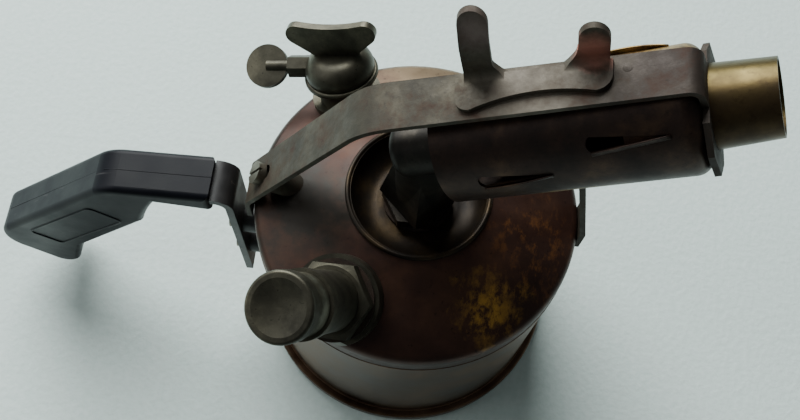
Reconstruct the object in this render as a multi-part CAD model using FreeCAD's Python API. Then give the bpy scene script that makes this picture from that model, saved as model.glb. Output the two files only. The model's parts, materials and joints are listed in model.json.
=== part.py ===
import FreeCAD, Part
import math
import os

# A brass paraffin blowlamp with a pistol grip, in millimetres.
# The origin is the middle of the foot, on the floor. +Z is up and +X is the way the flame points.

Vector = FreeCAD.Vector

# Fits, on the radius or on one face, and how far a cutter runs past its work
seat_gap = 0.05
slide_gap = 0.08
free_gap = 0.3
past = 1.0

# Tank and foot
tank_radius = 52.5
tank_sheet = 1.0
shoulder_height = 82.6
shoulder_round = 3.5
dome_radius = 120.0
seam_drop = 8.0
seam_lap = 5.0
foot_flare = 2.9
foot_height = 5.0
foot_lip = 2.0
foot_lip_width = 6.0
foot_round = 1.0
base_sheet = 1.2
base_rise = 2.0
base_flat_width = 9.0

# Spirit cup sunk in the top of the tank
cup_lip_radius = 23.2
cup_lip_round = 0.8
cup_depth = 8.0
cup_sheet = 1.0
cup_floor_radius = 13.0

# Burner stem and its seat in the tank
bush_radius = 10.0
bush_height = 9.0
thread_radius = 5.5
thread_length = 14.0
stem_washer_radius = 11.0
stem_washer_thickness = 1.2
stem_hex_flats = 20.0
stem_hex_height = 4.4
stem_foot_corner = 12.4
stem_taper_height = 23.5
column_radius = 8.0
fuel_bore = 1.6

# Burner line: its height on the tank's axis, and its rise towards the flame in degrees
burner_height = 122.9
burner_tilt = 29.0

# Burner head, measured along the burner line
head_radius = 8.2
head_rear = -8.5
head_front = 14.0
head_round = 3.0
spigot_length = 6.0
lug_radius = 3.4
lug_rear = 0.5
lug_front = 7.5
lug_socket = 3.5
feed_lug_angle = 30.0
return_lug_angle = 105.0

# Jet
jet_thread = 2.5
jet_thread_length = 5.0
jet_flats = 7.0
jet_hex_height = 3.0
jet_cone = 3.5
jet_tip_radius = 1.2
jet_orifice = 0.3

# Flame tube and nozzle
flame_bore = 9.0
spigot_bore = 8.4
flame_wall = 0.8
nozzle_root_radius = 10.6
nozzle_mouth_radius = 9.7
nozzle_length = 15.0
window_rear = 24.0
window_length = 12.0
window_width = 9.0
window_count = 3

# Vaporiser tubes and the hollow ring that joins them
vapour_tube_radius = 2.3
vapour_tube_wall = 0.7
header_rear = 58.0
header_length = 8.0
header_back = 2.6
header_socket = 1.4
header_wall = 1.0

# Louvred sleeve; each louvre has its place along the burner line and its angle above the near side
sleeve_radius = 16.3
sleeve_sheet = 0.8
sleeve_rear = 8.3
sleeve_length = 67.7
sleeve_turn_in = 4.0
louvre_length = 19.0
louvre_width = 4.0
louvres = ((50.0, 42.0), (20.0, 17.0), (50.0, 138.0), (20.0, 163.0), (35.0, 270.0))

# Strap over the burner, with the yoke that holds the nozzle
strap_sheet = 1.6
strap_rear_width = 14.4
strap_front_width = 11.6
strap_front_gap = 0.2
strap_rear_gap = 6.8
strap_rear_reach = -6.8
strap_top_bend = 24.0
strap_front_bend = 3.2
strap_foot_bend = 6.0
strap_foot_rise = 1.4
strap_foot_length = 8.0
strap_wall_gap = 0.8
strap_slot_length = 11.0
strap_screw_place = 9.5
yoke_half_width = 15.8
yoke_top = 10.0
yoke_drop = 12.2
yoke_corner = 6.0

# Strap post and its cheese-head screw
post_radius = 4.2
screw_radius = 2.0
screw_head_radius = 3.6
screw_head_height = 2.6
screw_slot_width = 0.9
screw_slot_depth = 1.1
strap_screw_length = 7.5

# Soldering-iron rest on the strap
rest_sheet = 1.6
rest_place = 26.0
rest_length = 39.0
rest_far = 4.6
rest_lobe = 5.0
rest_waist = 1.8
rest_corner = 4.0
prong_width = 7.4
prong_bend = 3.0
prong_tip_bend = 8.0
prong_rake = 12.0
prong_root = 6.0
rear_prong_place = 2.0
rear_prong_height = 23.0
rear_prong_lean = 4.0
front_prong_place = 30.5
front_prong_height = 13.0
front_prong_lean = 1.5

# Front stay from the tank's wall to the underside of the sleeve
stay_sheet = 1.8
stay_width = 12.0
stay_drop = 8.0
stay_rise = 2.0
stay_reach = 40.0
stay_bend = 4.0
stay_flange = 9.0

# Filler neck, with its axis set in from the tank's wall, and the cap
filler_edge = 8.5
filler_azimuth = 127.5
neck_radius = 9.0
neck_inside = 5.0
neck_height = 7.5
neck_collar_radius = 11.5
neck_collar_height = 1.6
plug_radius = 6.5
plug_length = 8.0
cap_washer_thickness = 1.2
cap_radius = 12.2
cap_rim_height = 2.0
cap_rim_round = 0.8
cap_bell_radius = 11.2
cap_crown_radius = 5.0
cap_height = 9.5
wing_half_width = 14.6
wing_base_half_width = 7.0
wing_height = 21.0
wing_dip = 1.2
wing_lobe = 4.0
wing_thickness = 2.6
wing_turn = -7.0

# Air screw on the side of the cap
air_height = 4.0
air_turn = 174.0
air_boss_flats = 6.6
air_boss_reach = 17.0
air_thread = 1.6
air_thread_length = 5.0
air_vent = 0.7
air_neck_radius = 2.0
air_disc_radius = 7.2
air_disc_thickness = 2.0
air_disc_gap = 0.7
air_disc_turn = 55.0

# Pump: how far its axis is set in from the tank's wall, and which way it leans
pump_edge = 10.5
pump_azimuth = 239.6
pump_tilt = 25.5
pump_lean = 234.0
pump_flange_radius = 14.0
pump_flange_height = 3.0
pump_gasket_radius = 12.6
pump_gasket_thickness = 0.8
pump_nut_flats = 22.0
pump_nut_height = 5.0
pump_nut_chamfer = 1.2
barrel_radius = 9.25
barrel_wall = 1.0
barrel_outside = 31.0
barrel_inside = 55.0
pump_cap_radius = 9.9
pump_cap_lip = 2.5
pump_cap_sheet = 1.3

# Pump plunger
rod_radius = 2.5
rod_grip = 9.0
rod_collar_radius = 5.0
rod_collar_height = 2.0
knob_radius = 9.6
knob_waist = 8.0
knob_flare = 0.9
knob_height = 14.4
knob_rim_height = 5.8
knob_round = 0.9
knob_dish = 1.2
knob_dish_radius = 7.6
leather_height = 5.0
leather_thickness = 1.4
leather_washer_radius = 6.2
leather_washer_thickness = 1.2
piston_nut_flats = 8.0
piston_nut_height = 3.5
piston_gap = 2.0

# Pump valve at the foot of the barrel
valve_plug_height = 5.0
valve_neck_radius = 5.6
valve_neck_length = 12.0
valve_seat_depth = 1.0
valve_port = 1.1
valve_chamber = 3.7
valve_floor = 1.5
pip_radius = 3.4
pip_height = 2.0
pip_lift = 1.5
spring_wire_radius = 0.3
spring_radius = 2.5
spring_turns = 4

# Pick-up tube and strainer
pickup_radius = 3.0
pickup_wall = 0.7
pickup_floor_gap = 3.5
pickup_socket = 6.0
strainer_wall = 0.8
strainer_height = 10.0

# Handle bracket, its bosses on the tank and its screws
bracket_sheet = 2.5
bracket_width = 14.5
bracket_stand_off = 6.8
bracket_top = 82.6
bracket_bottom = 20.0
bracket_bend = 5.0
tang_length = 30.0
tang_width = 9.0
boss_radius = 5.0
lower_boss_height = 34.0
upper_boss_height = 54.0
bracket_screw_length = 7.5

# Pistol grip: a level arm, then a slope measured along and across itself
grip_half_width = 8.0
grip_round = 2.2
grip_front_gap = 4.6
grip_arm_above = 3.6
grip_arm_below = 6.0
grip_arm_length = 35.0
grip_arm_fall = 1.6
grip_knee = 4.5
grip_slope = 44.5
grip_slope_length = 66.0
grip_toe_length = 79.0
grip_toe_back = 3.5
grip_toe_fall = 4.5
grip_toe_bulge = 1.0
grip_toe_corner = 2.0
grip_toe_under = 8.0
grip_heel_back = 23.0
grip_heel_drop = 2.0
grip_depth = 23.5
grip_toe_depth = 33.0
grip_palm_round = 5.0
grip_finger_reach = 18.5

# Worked out from the sizes above
dome_centre = shoulder_height - math.sqrt(dome_radius ** 2 - tank_radius ** 2)
seam_height = shoulder_height - seam_drop
foot_radius = tank_radius + foot_flare
filler_reach = tank_radius - filler_edge
pump_reach = tank_radius - pump_edge
tilt = math.radians(burner_tilt)
sleeve_front = sleeve_rear + sleeve_length
sleeve_bore = sleeve_radius - sleeve_sheet
flame_radius = flame_bore + flame_wall
vapour_offset = (flame_radius + sleeve_bore) / 2
yoke_front = sleeve_front + strap_sheet
barrel_bore = barrel_radius - barrel_wall
barrel_hole = barrel_radius + seat_gap
base_top = foot_lip + base_rise + base_sheet
bracket_inner = -(tank_radius + bracket_stand_off)
bracket_middle = bracket_inner - bracket_sheet / 2
bracket_outer = bracket_inner - bracket_sheet
grip_front = bracket_outer - grip_front_gap


def dome_height(radius):
    """Height of the dome's outside at a distance from the tank's axis."""
    return dome_centre + math.sqrt(dome_radius ** 2 - radius ** 2)


def dome_point(reach, azimuth):
    """Point on the dome's outside at a distance and a compass angle from the tank's axis."""
    angle = math.radians(azimuth)
    return Vector(reach * math.cos(angle), reach * math.sin(angle), dome_height(reach))


def burner_point(along, above):
    """Place in the XZ plane, along the burner line and square above it."""
    x = along * math.cos(tilt) - above * math.sin(tilt)
    z = burner_height + along * math.sin(tilt) + above * math.cos(tilt)
    return x, z


def frame_at(origin, axis, across):
    """Placement whose +Z is the axis and whose +X is as near as can be to across."""
    return FreeCAD.Placement(origin, FreeCAD.Rotation(across, Vector(), axis, "ZXY"))


def placed(shape, frame):
    """Copy of a shape, carried from the origin into a frame."""
    moved = shape.copy()
    moved.Placement = frame.multiply(moved.Placement)
    return moved


def joined(*shapes):
    """One solid made of overlapping shapes."""
    return shapes[0].multiFuse(list(shapes[1:])).removeSplitter()


def flat(point):
    """Point of the XZ plane."""
    return Vector(point[0], 0, point[1])


def closed_face(start, *steps):
    """Face in the XZ plane; each step is an end point, or a (via, end) pair for an arc."""
    edges = []
    here = start
    for step in steps + (start,):
        if isinstance(step[0], tuple):
            via, end = step
            edges.append(Part.Arc(flat(here), flat(via), flat(end)).toShape())
        else:
            end = step
            edges.append(Part.LineSegment(flat(here), flat(end)).toShape())
        here = end
    return Part.Face(Part.Wire(edges))


def turned(start, *steps):
    """Solid of revolution about Z, from a closed outline of (radius, height) steps."""
    return closed_face(start, *steps).revolve(Vector(), Vector(0, 0, 1), 360)


def slab(face, low, high):
    """A face of the XZ plane, thickened from low to high along Y."""
    return face.translated(Vector(0, low, 0)).extrude(Vector(0, high - low, 0))


def rod(radius, low, high):
    """Round bar along Z."""
    return Part.makeCylinder(radius, high - low, Vector(0, 0, low))


def ring(outer, inner, low, high):
    """Tube along Z."""
    return rod(outer, low, high).cut(rod(inner, low - past, high + past))


def bar_between(start, end, radius):
    """Round bar from one point to another."""
    return Part.makeCylinder(radius, (end - start).Length, start, end - start)


def polygon_prism(corners, corner_radius, low, high):
    """Regular prism along Z with a corner on +X."""
    points = []
    for k in range(corners + 1):
        angle = 2 * math.pi * k / corners
        points.append(Vector(corner_radius * math.cos(angle), corner_radius * math.sin(angle), low))
    return Part.Face(Part.makePolygon(points)).extrude(Vector(0, 0, high - low))


def hexagon(flats, low, high):
    """Hexagonal bar along Z."""
    return polygon_prism(6, flats / math.sqrt(3), low, high)


def quarter(centre, radius, degrees):
    """Point on a circle of the XZ plane, for the middle of a rounded corner."""
    angle = math.radians(degrees)
    return centre[0] + radius * math.cos(angle), centre[1] + radius * math.sin(angle)


def strip_side(points, bends, offset):
    """Steps along the left of a bent strip, at an offset from the line down its middle."""
    steps = []
    heading = []
    for (x0, z0), (x1, z1) in zip(points, points[1:]):
        length = math.hypot(x1 - x0, z1 - z0)
        heading.append(((x1 - x0) / length, (z1 - z0) / length))
    left = [(-dz, dx) for dx, dz in heading]
    steps.append((points[0][0] + left[0][0] * offset, points[0][1] + left[0][1] * offset))
    for k, radius in enumerate(bends):
        (ax, az), (bx, bz) = heading[k], heading[k + 1]
        turn = math.atan2(ax * bz - az * bx, ax * bx + az * bz)
        side = math.copysign(1, turn)
        reach = radius * math.tan(abs(turn) / 2)
        corner = points[k + 1]
        begin = (corner[0] - ax * reach, corner[1] - az * reach)
        finish = (corner[0] + bx * reach, corner[1] + bz * reach)
        centre = (begin[0] + left[k][0] * radius * side, begin[1] + left[k][1] * radius * side)
        far = math.hypot(corner[0] - centre[0], corner[1] - centre[1])
        share = (radius - side * offset) / far
        middle = tuple(c + (p - c) * share for c, p in zip(centre, corner))
        steps.append((begin[0] + left[k][0] * offset, begin[1] + left[k][1] * offset))
        steps.append((middle, (finish[0] + left[k + 1][0] * offset, finish[1] + left[k + 1][1] * offset)))
    steps.append((points[-1][0] + left[-1][0] * offset, points[-1][1] + left[-1][1] * offset))
    return steps


def strip_face(points, bends, thickness):
    """Edge-on face of a bent strip: points down its middle, and a bend radius at each inner point."""
    there = strip_side(points, bends, thickness / 2)
    back = strip_side(points[::-1], bends[::-1], thickness / 2)
    return closed_face(there[0], *there[1:], *back)


# Frames of the leaning groups
burner_axis = Vector(math.cos(tilt), 0, math.sin(tilt))
burner_down = Vector(math.sin(tilt), 0, -math.cos(tilt))
burner_frame = frame_at(Vector(0, 0, burner_height), burner_axis, burner_down)

filler_foot = dome_point(filler_reach, filler_azimuth)
filler_frame = frame_at(filler_foot, filler_foot - Vector(0, 0, dome_centre), Vector(1, 0, 0))
cap_seat = neck_height + cap_washer_thickness + seat_gap
air_angle = math.radians(air_turn)
air_axis = Vector(math.cos(air_angle), math.sin(air_angle), 0)
air_frame = filler_frame.multiply(frame_at(Vector(0, 0, cap_seat + air_height), air_axis, Vector(0, 0, 1)))

pump_slant = math.radians(pump_tilt)
pump_compass = math.radians(pump_lean)
pump_axis = Vector(
    math.sin(pump_slant) * math.cos(pump_compass),
    math.sin(pump_slant) * math.sin(pump_compass),
    math.cos(pump_slant),
)
pump_frame = frame_at(dome_point(pump_reach, pump_azimuth), pump_axis, Vector(1, 0, 0))
pump_nut_seat = pump_flange_height + pump_gasket_thickness
knob_seat = barrel_outside + seat_gap + pump_cap_sheet + free_gap
piston_foot = -barrel_inside + valve_plug_height + piston_gap
leather_top = piston_foot + piston_nut_height + leather_washer_thickness + leather_thickness
valve_seat = -barrel_inside - valve_seat_depth
valve_bottom = -barrel_inside - valve_neck_length

# Heights in the middle of the tank
cup_lip = dome_height(cup_lip_radius) + cup_lip_round / 2
cup_wall = cup_lip_radius - cup_lip_round
cup_floor = cup_lip - cup_depth
stem_seat = cup_floor + stem_washer_thickness
stem_bottom = stem_seat - thread_length
pickup_bottom = base_top + pickup_floor_gap


def tank_body(inset):
    """The tank as one solid, with its outside moved in by inset."""
    radius = tank_radius - inset
    sphere = dome_radius - inset
    bend = shoulder_round - inset
    rise = math.sqrt((sphere - bend) ** 2 - (radius - bend) ** 2)
    centre = (radius - bend, dome_centre + rise)
    lean = math.degrees(math.atan2(radius - bend, rise))
    middle = (0, dome_centre)
    return turned(
        (0, foot_lip),
        (radius, foot_lip),
        (radius, centre[1]),
        (quarter(centre, bend, 45 - lean / 2), quarter(middle, sphere, 90 - lean)),
        (quarter(middle, sphere, 90 - lean / 2), (0, dome_centre + sphere)),
    )


def fitted_on_tank(shape):
    """What is left of a flange outside the tank and within the line of its wall."""
    return shape.common(rod(tank_radius, foot_lip, 2 * shoulder_height)).cut(tank_body(0))


def tank_wall():
    return ring(tank_radius, tank_radius - tank_sheet, foot_lip, seam_height)


def tank_top():
    shell = tank_body(0).cut(tank_body(tank_sheet)).cut(rod(tank_radius + past, 0, seam_height))
    lap = tank_radius - tank_sheet - seat_gap
    skirt = ring(lap, lap - tank_sheet, seam_height - seam_lap, seam_height + tank_sheet)
    step = ring(tank_radius - tank_sheet / 2, lap - tank_sheet, seam_height, seam_height + tank_sheet)
    shell = joined(shell, skirt, step)
    shell = shell.cut(rod(cup_wall + seat_gap, seam_height, dome_height(0) + past))
    shell = shell.cut(placed(rod(neck_radius + seat_gap, -neck_inside, neck_height), filler_frame))
    return shell.cut(placed(rod(barrel_hole, -pump_flange_radius, pump_flange_radius), pump_frame))


def tank_base():
    edge = tank_radius - tank_sheet - seat_gap
    fold = edge - base_flat_width
    return turned(
        (0, base_top - base_sheet),
        (fold - base_rise, base_top - base_sheet),
        (fold, foot_lip),
        (edge, foot_lip),
        (edge, foot_lip + base_sheet),
        (fold, foot_lip + base_sheet),
        (fold - base_rise, base_top),
        (0, base_top),
    )


def foot_ring():
    inner = tank_radius + seat_gap
    bottom = (foot_radius - foot_round, foot_round)
    top = (foot_radius - foot_round, foot_height - foot_round)
    return turned(
        (tank_radius - foot_lip_width, 0),
        (bottom[0], 0),
        (quarter(bottom, foot_round, -45), (foot_radius, foot_round)),
        (foot_radius, top[1]),
        (quarter(top, foot_round, 45), (top[0], foot_height)),
        (inner, foot_height),
        (inner, foot_lip),
        (tank_radius - foot_lip_width, foot_lip),
    )


def spirit_cup(top):
    hole = thread_radius + seat_gap
    inside = cup_wall - cup_sheet
    belly = (cup_floor_radius + (inside - cup_floor_radius) * 0.8, cup_floor + cup_depth * 0.35)
    under = (belly[0] + cup_sheet * 0.75, belly[1] - cup_sheet * 0.75)
    bowl = turned(
        (hole, cup_floor - cup_sheet),
        (cup_floor_radius, cup_floor - cup_sheet),
        (under, (cup_wall, cup_lip)),
        (inside, cup_lip),
        (belly, (cup_floor_radius, cup_floor)),
        (hole, cup_floor),
    )
    lip = Part.makeTorus(cup_wall, cup_lip_round, Vector(0, 0, cup_lip))
    return joined(bowl, lip).cut(top)


def centre_bush():
    top = cup_floor - cup_sheet
    return ring(bush_radius, thread_radius, top - bush_height, top)


def stem_washer():
    return ring(stem_washer_radius, thread_radius + seat_gap, cup_floor, stem_seat)


def lug_place(angle, along):
    """Centre of a vaporiser lug, in the burner's frame."""
    turn = math.radians(angle)
    return Vector(vapour_offset * math.cos(turn), vapour_offset * math.sin(turn), along)


def burner_head():
    """Head of the stem along the burner line, with a spigot for the flame tube and two lugs."""
    heel = (head_radius - head_round, head_rear + head_round)
    spigot = spigot_bore - seat_gap
    head = turned(
        (0, head_rear),
        (heel[0], head_rear),
        (quarter(heel, head_round, -45), (head_radius, heel[1])),
        (head_radius, head_front - spigot_length),
        (spigot, head_front - spigot_length),
        (spigot, head_front + spigot_length),
        (0, head_front + spigot_length),
    )
    parts = [head]
    middle = (lug_rear + lug_front) / 2
    for angle in (feed_lug_angle, return_lug_angle):
        parts.append(bar_between(lug_place(angle, lug_rear), lug_place(angle, lug_front), lug_radius))
        parts.append(bar_between(Vector(0, 0, middle), lug_place(angle, middle), lug_radius))
    return joined(*parts)


def burner_passages():
    """Bores in the head: feed to one lug, the other lug back to the jet, and the sockets."""
    middle = lug_rear + lug_radius
    socket = lug_front - lug_socket
    jet_seat = head_front + spigot_length
    feed_turn = Vector(head_radius / 2, 0, 0)
    bores = [
        bar_between(feed_turn, lug_place(feed_lug_angle, middle), fuel_bore),
        bar_between(Vector(0, 0, middle), lug_place(return_lug_angle, middle), fuel_bore),
        rod(fuel_bore, middle, jet_seat),
        rod(jet_thread, jet_seat - jet_thread_length - past, jet_seat + past),
    ]
    for angle in (feed_lug_angle, return_lug_angle):
        bores.append(bar_between(lug_place(angle, middle), lug_place(angle, lug_front), fuel_bore))
        end = lug_place(angle, lug_front + past)
        bores.append(bar_between(lug_place(angle, socket), end, vapour_tube_radius + seat_gap))
    return bores


def burner_stem():
    hex_top = stem_seat + stem_hex_height
    taper_top = hex_top + stem_taper_height
    low = polygon_prism(4, stem_foot_corner, hex_top, hex_top + past).Faces
    high = polygon_prism(4, column_radius, taper_top, taper_top + past).Faces
    low_wire = min(low, key=lambda face: face.CenterOfMass.z).OuterWire
    high_wire = min(high, key=lambda face: face.CenterOfMass.z).OuterWire
    stem = joined(
        rod(thread_radius - seat_gap, stem_bottom, stem_seat),
        hexagon(stem_hex_flats, stem_seat, hex_top),
        Part.makeLoft([low_wire, high_wire], True, True),
        rod(column_radius, hex_top, burner_height),
        placed(burner_head(), burner_frame),
    )
    feed_top = burner_frame.multVec(Vector(head_radius / 2, 0, 0))
    stem = stem.cut(bar_between(Vector(0, 0, stem_bottom - past), feed_top, fuel_bore))
    stem = stem.cut(rod(pickup_radius + seat_gap, stem_bottom - past, stem_bottom + pickup_socket))
    for bore in burner_passages():
        stem = stem.cut(placed(bore, burner_frame))
    return stem


def jet_nipple():
    seat = head_front + spigot_length
    shoulder = seat + jet_hex_height
    cone = Part.makeCone(jet_flats / 2, jet_tip_radius, jet_cone, Vector(0, 0, shoulder))
    thread = rod(jet_thread - seat_gap, seat - jet_thread_length, seat)
    jet = joined(thread, hexagon(jet_flats, seat, shoulder), cone)
    jet = jet.cut(rod(fuel_bore / 2, seat - jet_thread_length - past, shoulder))
    jet = jet.cut(rod(jet_orifice, seat, shoulder + jet_cone + past))
    return placed(jet, burner_frame)


def flame_tube():
    mouth = yoke_front + nozzle_length
    step = window_rear + window_length
    tube = turned(
        (spigot_bore, head_front),
        (flame_radius, head_front),
        (flame_radius, yoke_front),
        (nozzle_root_radius, yoke_front),
        (nozzle_mouth_radius, mouth),
        (flame_bore, mouth),
        (flame_bore, step),
        (spigot_bore, step),
    )
    for k in range(window_count):
        window = Part.makeBox(
            flame_radius + past, window_width, window_length, Vector(0, -window_width / 2, window_rear)
        )
        tube = tube.cut(window.rotated(Vector(), Vector(0, 0, 1), 360 * k / window_count))
    return placed(tube, burner_frame)


def vaporiser_tube(angle):
    start = lug_front - lug_socket
    length = header_rear + header_socket - start
    outer = Part.makeCylinder(vapour_tube_radius, length, lug_place(angle, start))
    inner = Part.makeCylinder(
        vapour_tube_radius - vapour_tube_wall, length + 2 * past, lug_place(angle, start - past)
    )
    return placed(outer.cut(inner), burner_frame)


def vaporiser_ring():
    outer = sleeve_bore - seat_gap
    inner = flame_radius + free_gap
    front = header_rear + header_length
    body = ring(outer, inner, header_rear, front)
    chamber = (header_rear + header_back, front - header_wall)
    body = body.cut(ring(outer - header_wall, inner + header_wall, *chamber))
    for angle in (feed_lug_angle, return_lug_angle):
        mouth = lug_place(angle, header_rear - past)
        floor = lug_place(angle, header_rear + header_socket)
        body = body.cut(bar_between(mouth, floor, vapour_tube_radius + seat_gap))
        body = body.cut(bar_between(mouth, lug_place(angle, header_rear + header_back + past), fuel_bore))
    return placed(body, burner_frame)


def burner_sleeve():
    outer = (sleeve_radius - sleeve_turn_in, sleeve_front - sleeve_turn_in)
    bend = sleeve_turn_in - sleeve_sheet
    sleeve = turned(
        (sleeve_bore, sleeve_rear),
        (sleeve_radius, sleeve_rear),
        (sleeve_radius, outer[1]),
        (quarter(outer, sleeve_turn_in, 45), (outer[0], sleeve_front)),
        (outer[0], sleeve_front - sleeve_sheet),
        (quarter(outer, bend, 45), (sleeve_bore, outer[1])),
    )
    half = louvre_width / 2
    for along, angle in louvres:
        drop = closed_face(
            (-half, along), ((0, along - half / 2), (half, along)), (0, along + louvre_length)
        )
        cutter = slab(drop, -sleeve_radius - past, -sleeve_bore + past)
        sleeve = sleeve.cut(cutter.rotated(Vector(), Vector(0, 0, 1), -angle))
    return placed(sleeve, burner_frame)


# Strap line in the XZ plane: foot, rear leg, run over the sleeve, and front leg
strap_half = strap_sheet / 2
strap_foot_x = -(tank_radius + strap_wall_gap + strap_half)
strap_knee = (strap_foot_x, shoulder_height + strap_foot_rise)
strap_rear = burner_point(strap_rear_reach, sleeve_radius + strap_rear_gap + strap_half)
strap_front = burner_point(sleeve_front + strap_half, sleeve_radius + strap_front_gap + strap_half)
leg_axis = (flat(strap_rear) - flat(strap_knee)).normalize()
leg_out = Vector(-leg_axis.z, 0, leg_axis.x)
leg_frame = frame_at(flat(strap_knee) + leg_axis * strap_screw_place, leg_out, leg_axis)
run_axis = (flat(strap_front) - flat(strap_rear)).normalize()
run_out = Vector(-run_axis.z, 0, run_axis.x)
rest_frame = frame_at(flat(strap_rear) + run_axis * rest_place + run_out * strap_half, run_out, run_axis)


def slot_cutter(length, radius, low, high):
    """Long hole along X with round ends."""
    reach = length / 2 - radius
    middle = Part.makeBox(2 * reach, 2 * radius, high - low, Vector(-reach, -radius, low))
    ends = [rod(radius, low, high).translated(Vector(x, 0, 0)) for x in (-reach, reach)]
    return joined(middle, *ends)


def strap_yoke():
    """Plate brazed under the strap's front end, across the sleeve, with the nozzle's hole."""
    half = yoke_half_width
    cut = yoke_corner
    corners = [
        (-yoke_top, half - cut), (-yoke_top + cut, half), (yoke_drop - cut, half), (yoke_drop, half - cut),
        (yoke_drop, cut - half), (yoke_drop - cut, -half), (-yoke_top + cut, -half), (-yoke_top, cut - half),
        (-yoke_top, half - cut),
    ]
    points = [Vector(down, side, sleeve_front) for down, side in corners]
    plate = Part.Face(Part.makePolygon(points)).extrude(Vector(0, 0, strap_sheet))
    hole = rod(flame_radius + seat_gap, sleeve_front - past, yoke_front + past)
    return placed(plate.cut(hole), burner_frame)


def burner_strap():
    tip = (strap_foot_x, shoulder_height - strap_foot_length)
    yoke_end = burner_point(sleeve_front + strap_half, yoke_top)
    line = [tip, strap_knee, strap_rear, strap_front, yoke_end]
    bends = [strap_foot_bend, strap_top_bend, strap_front_bend]
    band = slab(strip_face(line, bends, strap_sheet), -strap_rear_width, strap_rear_width)
    rear = strap_foot_x - past
    front = strap_front[0] + strap_rear_width
    wide = strap_rear_width / 2
    narrow = strap_front_width / 2
    plan = [(rear, wide), (strap_rear[0], wide), (front, narrow), (front, -narrow), (strap_rear[0], -wide),
            (rear, -wide), (rear, wide)]
    trim = Part.Face(Part.makePolygon([Vector(x, y, 0) for x, y in plan]))
    band = band.common(trim.extrude(Vector(0, 0, strap_front[1] + strap_rear_width)))
    slot = slot_cutter(strap_slot_length, screw_radius + free_gap, -strap_sheet, strap_sheet)
    return band.cut(placed(slot, leg_frame))


def strap_post():
    depth = strap_half + tank_radius / 2
    post = placed(rod(post_radius, -depth, -strap_half), leg_frame).cut(tank_body(0))
    return post.cut(placed(rod(screw_radius + seat_gap, -depth - past, past), leg_frame))


def cheese_head_screw(length):
    """Screw along Z, its head sitting on the plane of the origin and its shank below."""
    screw = joined(rod(screw_head_radius, 0, screw_head_height), rod(screw_radius, -length, 0))
    slot = Part.makeBox(
        3 * screw_head_radius, screw_slot_width, screw_slot_depth + past,
        Vector(-1.5 * screw_head_radius, -screw_slot_width / 2, screw_head_height - screw_slot_depth),
    )
    return screw.cut(slot)


def strap_screw():
    seat = leg_frame.multiply(FreeCAD.Placement(Vector(0, 0, strap_half), FreeCAD.Rotation()))
    return placed(cheese_head_screw(strap_screw_length), seat)


def prong(place, height, lean, side):
    """Raked tongue at the far edge of the rest: a round tip that leans back, a hollow root on one side."""
    half = rest_sheet / 2
    line = [
        (rest_far - 2 * prong_bend, half),
        (rest_far + half, half),
        (rest_far + half, height * 0.6),
        (rest_far + half + lean, height),
    ]
    band = slab(strip_face(line, [prong_bend, prong_tip_bend], rest_sheet), -rest_length, rest_length)
    band = band.rotated(Vector(), Vector(0, 0, 1), 90)
    tip = prong_width / 2
    outline = closed_face(
        (-tip, -height), (-tip, height - tip), ((0, height), (tip, height - tip)), (tip, -height)
    )
    tongue = slab(outline, -rest_length, rest_length).rotated(Vector(), Vector(0, 1, 0), prong_rake)
    rake = math.radians(prong_rake)
    foot = side * tip / math.cos(rake)
    top = (foot + prong_root * math.tan(rake), half + prong_root)
    toe = (foot + side * prong_root, half)
    inset = 1 - math.sqrt(0.5)
    hollow = (foot + inset * (top[0] + toe[0] - 2 * foot), half + inset * prong_root)
    root = slab(closed_face((0, 0), (0, top[1]), top, (hollow, toe), (toe[0], 0)), -rest_length, rest_length)
    return band.common(joined(tongue, root)).translated(Vector(place + tip, 0, 0))


def iron_rest():
    lobe = (rest_corner, -rest_lobe)
    toe = (rest_length - rest_corner, -rest_lobe * 0.7)
    outline = closed_face(
        (0, rest_far),
        (0, lobe[1] + rest_corner),
        (quarter((rest_corner, lobe[1] + rest_corner), rest_corner, 225), lobe),
        ((rest_length * 0.55, -rest_waist), toe),
        (quarter((toe[0], toe[1] + rest_corner), rest_corner, -45), (rest_length, toe[1] + rest_corner)),
        (rest_length, rest_far),
    )
    plate = outline.rotated(Vector(), Vector(1, 0, 0), -90).extrude(Vector(0, 0, rest_sheet))
    rear = prong(rear_prong_place, rear_prong_height, rear_prong_lean, 1)
    front = prong(front_prong_place, front_prong_height, front_prong_lean, -1)
    return placed(joined(plate, rear, front), rest_frame)


def front_stay():
    x = tank_radius + seat_gap + stay_sheet / 2
    under = -(sleeve_radius + free_gap + stay_sheet / 2)
    line = [
        (x, shoulder_height - stay_drop),
        (x, shoulder_height + stay_rise),
        burner_point(stay_reach, under),
        burner_point(stay_reach + stay_flange, under),
    ]
    return slab(strip_face(line, [stay_bend, stay_bend], stay_sheet), -stay_width / 2, stay_width / 2)


def filler_neck():
    collar = placed(rod(neck_collar_radius, -neck_collar_radius / 2, neck_collar_height), filler_frame)
    neck = placed(rod(neck_radius, -neck_inside, neck_height), filler_frame)
    bore = rod(plug_radius + slide_gap, -neck_inside - past, neck_height + past)
    return joined(neck, fitted_on_tank(collar)).cut(placed(bore, filler_frame))


def filler_washer():
    top = neck_height + cap_washer_thickness
    return placed(ring(neck_radius, plug_radius + free_gap, neck_height, top), filler_frame)


def cap_wing():
    """Flat butterfly wing on the crown of the cap."""
    top = cap_seat + wing_height
    shoulder = top - 0.7 * wing_lobe
    waist = top - 1.6 * wing_lobe
    tip = wing_half_width - wing_lobe
    under = wing_half_width - 0.35 * wing_lobe
    base = cap_seat + cap_height / 2
    outline = closed_face(
        (-wing_base_half_width, base),
        (-wing_base_half_width, cap_seat + cap_height),
        (-under, waist),
        ((-wing_half_width, shoulder), (-tip, top)),
        ((0, top - wing_dip), (tip, top)),
        ((wing_half_width, shoulder), (under, waist)),
        (wing_base_half_width, cap_seat + cap_height),
        (wing_base_half_width, base),
    )
    wing = slab(outline, -wing_thickness / 2, wing_thickness / 2)
    return wing.rotated(Vector(), Vector(0, 0, 1), wing_turn)


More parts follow.
